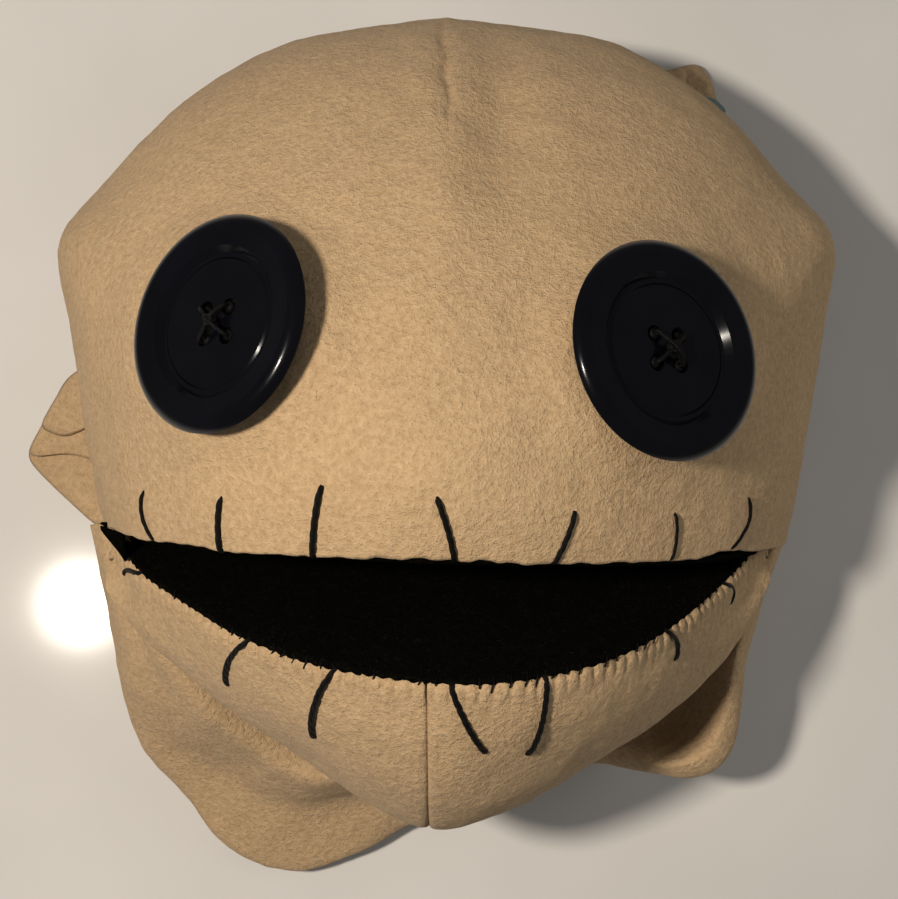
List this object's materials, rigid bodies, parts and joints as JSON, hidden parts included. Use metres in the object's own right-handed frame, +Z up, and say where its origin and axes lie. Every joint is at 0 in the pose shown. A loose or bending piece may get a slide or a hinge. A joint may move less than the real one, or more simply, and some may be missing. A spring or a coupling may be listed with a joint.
{
  "type": "moving mouth hand puppet",
  "caption": "Hand puppet head in fleece with button eyes, a stitched mouth that opens on a hinge at its corners, and an arm sleeve folded under the head.",
  "frame": {"origin": "on the resting plane, under the middle of the whole puppet", "axes": "+Z up out of the face, +Y towards the crown, +X towards the eye on the right as the face is seen"},
  "size_m": [0.1758, 0.1827, 0.1058],
  "materials": {
    "fleece": "napped fleece",
    "black_felt": "matt felt",
    "mouth_board": "matt",
    "foam": "open-cell foam",
    "pocket_cloth": "woven",
    "button": "glossy",
    "black_thread": "twisted floss",
    "label_cloth": "woven satin"
  },
  "bodies": {
    "head": {"face_panel": "fleece", "head_back_panel_left": "fleece", "head_back_panel_right": "fleece", "head_foam": "foam", "upper_mouth_board": "mouth_board", "upper_mouth_felt": "black_felt", "mouth_hinge_strip": "black_felt", "finger_pocket": "pocket_cloth", "cheek_gusset_left": "fleece", "cheek_gusset_right": "fleece", "eye_button_left": "button", "eye_button_right": "button", "eye_thread_left": "black_thread", "eye_thread_right": "black_thread", "upper_lip_stitches": "black_thread", "sleeve_front_panel": "fleece", "sleeve_back_panel": "fleece", "sleeve_hem": "fleece", "label_tab": "label_cloth"},
    "jaw": {"jaw_cover_left": "fleece", "jaw_cover_right": "fleece", "jaw_foam": "foam", "lower_mouth_board": "mouth_board", "lower_mouth_felt": "black_felt", "thumb_pocket": "pocket_cloth", "lower_lip_stitches": "black_thread", "lip_whipstitches": "black_thread"}
  },
  "joints": [
    {"name": "mouth_joint", "type": "hinge", "parent": "head", "child": "jaw", "pos_m": [0.004, -0.0205, 0.042], "axis": [1, 0, 0], "range_deg": [-17, 25]}
  ]
}
